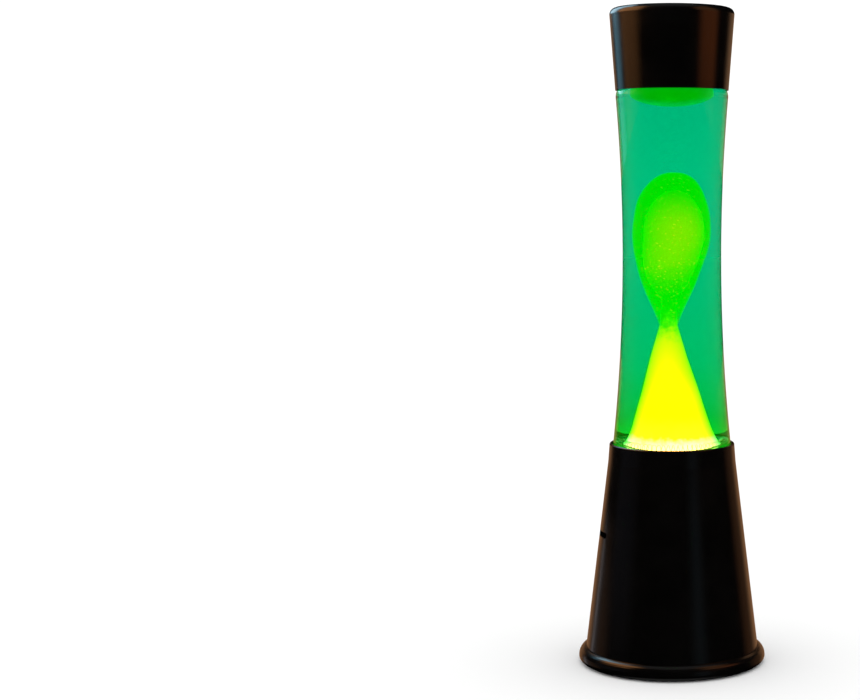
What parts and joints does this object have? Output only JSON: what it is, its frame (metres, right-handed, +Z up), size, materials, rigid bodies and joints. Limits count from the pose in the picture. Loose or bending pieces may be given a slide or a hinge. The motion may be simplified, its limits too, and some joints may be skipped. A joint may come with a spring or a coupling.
{
  "type": "lava lamp",
  "caption": "Lava lamp with a conical black metal base, a waisted glass bottle of green liquid and yellow-green wax, and a loose black metal cap.",
  "frame": {"origin": "centre of the footprint, on the surface that the rubber feet stand on", "axes": "+Z up along the lamp's axis; -Y is the front; the cord inlet is at the back, towards +Y; +X is to the right seen from the front"},
  "size_m": [0.1152, 0.1152, 0.4],
  "materials": {
    "black_enamel": "satin black stove enamel",
    "zinc_steel": "zinc-plated sheet steel",
    "black_steel": "matt black sheet steel",
    "screw_steel": "bright zinc fasteners",
    "foot_rubber": "matt black rubber",
    "grommet_rubber": "black rubber",
    "holder_ceramic": "white glazed lampholder",
    "insert_ceramic": "unglazed ceramic",
    "contact_brass": "bright brass",
    "bulb_tin": "solder-tinned",
    "bulb_black_glass": "black insulating glass",
    "bulb_metal": "bright aluminium",
    "bulb_glass": "clear",
    "bulb_mirror": "evaporated aluminium",
    "bulb_wire": "nickel wire",
    "glowing_wire": "incandescent tungsten",
    "bottle_glass": "clear moulded glass",
    "green_liquid": "clear turquoise-green liquid lit from below",
    "lit_wax": "translucent wax, yellow at the foot and green at the drop",
    "dim_wax": "translucent green wax",
    "coil_wire": "dull spring wire",
    "seal_liner": "soft sealing liner",
    "crown_metal": "gold-lacquered tinplate"
  },
  "bodies": {
    "base": {"base_shell": "black_enamel", "bottle_seat": "zinc_steel", "cord_grommet": "grommet_rubber", "bottom_plate": "black_steel", "plate_tabs": "zinc_steel", "plate_screws": "screw_steel", "rubber_feet": "foot_rubber", "socket_bracket": "zinc_steel", "bracket_rivets": "screw_steel", "threaded_nipple": "zinc_steel", "nipple_nut": "zinc_steel", "lock_washer": "zinc_steel", "lampholder_cup": "holder_ceramic", "lampholder_sleeve": "holder_ceramic", "lampholder_insert": "insert_ceramic", "lampholder_thread": "contact_brass", "centre_contact": "contact_brass", "side_contact": "contact_brass", "terminal_screws": "contact_brass"},
    "bulb_carrier": {"bulb_contact": "bulb_tin"},
    "bulb": {"bulb_insulator": "bulb_black_glass", "bulb_screw_shell": "bulb_metal", "bulb_envelope": "bulb_glass", "bulb_reflector": "bulb_mirror", "bulb_stem": "bulb_glass", "bulb_leads": "bulb_wire", "bulb_filament": "glowing_wire"},
    "bottle": {"glass_bottle": "bottle_glass", "lava_liquid": "green_liquid", "wax_column": "lit_wax", "wax_top_pool": "dim_wax", "wire_coil": "coil_wire", "closure_liner": "seal_liner", "crown_closure": "crown_metal"},
    "cap": {"top_cap": "black_enamel"}
  },
  "joints": [
    {"name": "bottle_lift", "type": "slide", "parent": "base", "child": "bottle", "axis": [0, 0, 1], "range_m": [0, 0.12]},
    {"name": "cap_lift", "type": "slide", "parent": "bottle", "child": "cap", "axis": [0, 0, 1], "range_m": [0, 0.06]},
    {"name": "bulb_rise", "type": "slide", "parent": "base", "child": "bulb_carrier", "axis": [0, 0, 1], "range_m": [0, 0.0085]},
    {"name": "bulb_turn", "type": "hinge", "parent": "bulb_carrier", "child": "bulb", "pos_m": [0, 0, 0.08], "axis": [0, 0, 1], "range_deg": [0, 1080]}
  ],
  "couplings": [
    {"joint": "bulb_rise", "follows": "bulb_turn", "m_per_rad": 0.00044882}
  ]
}
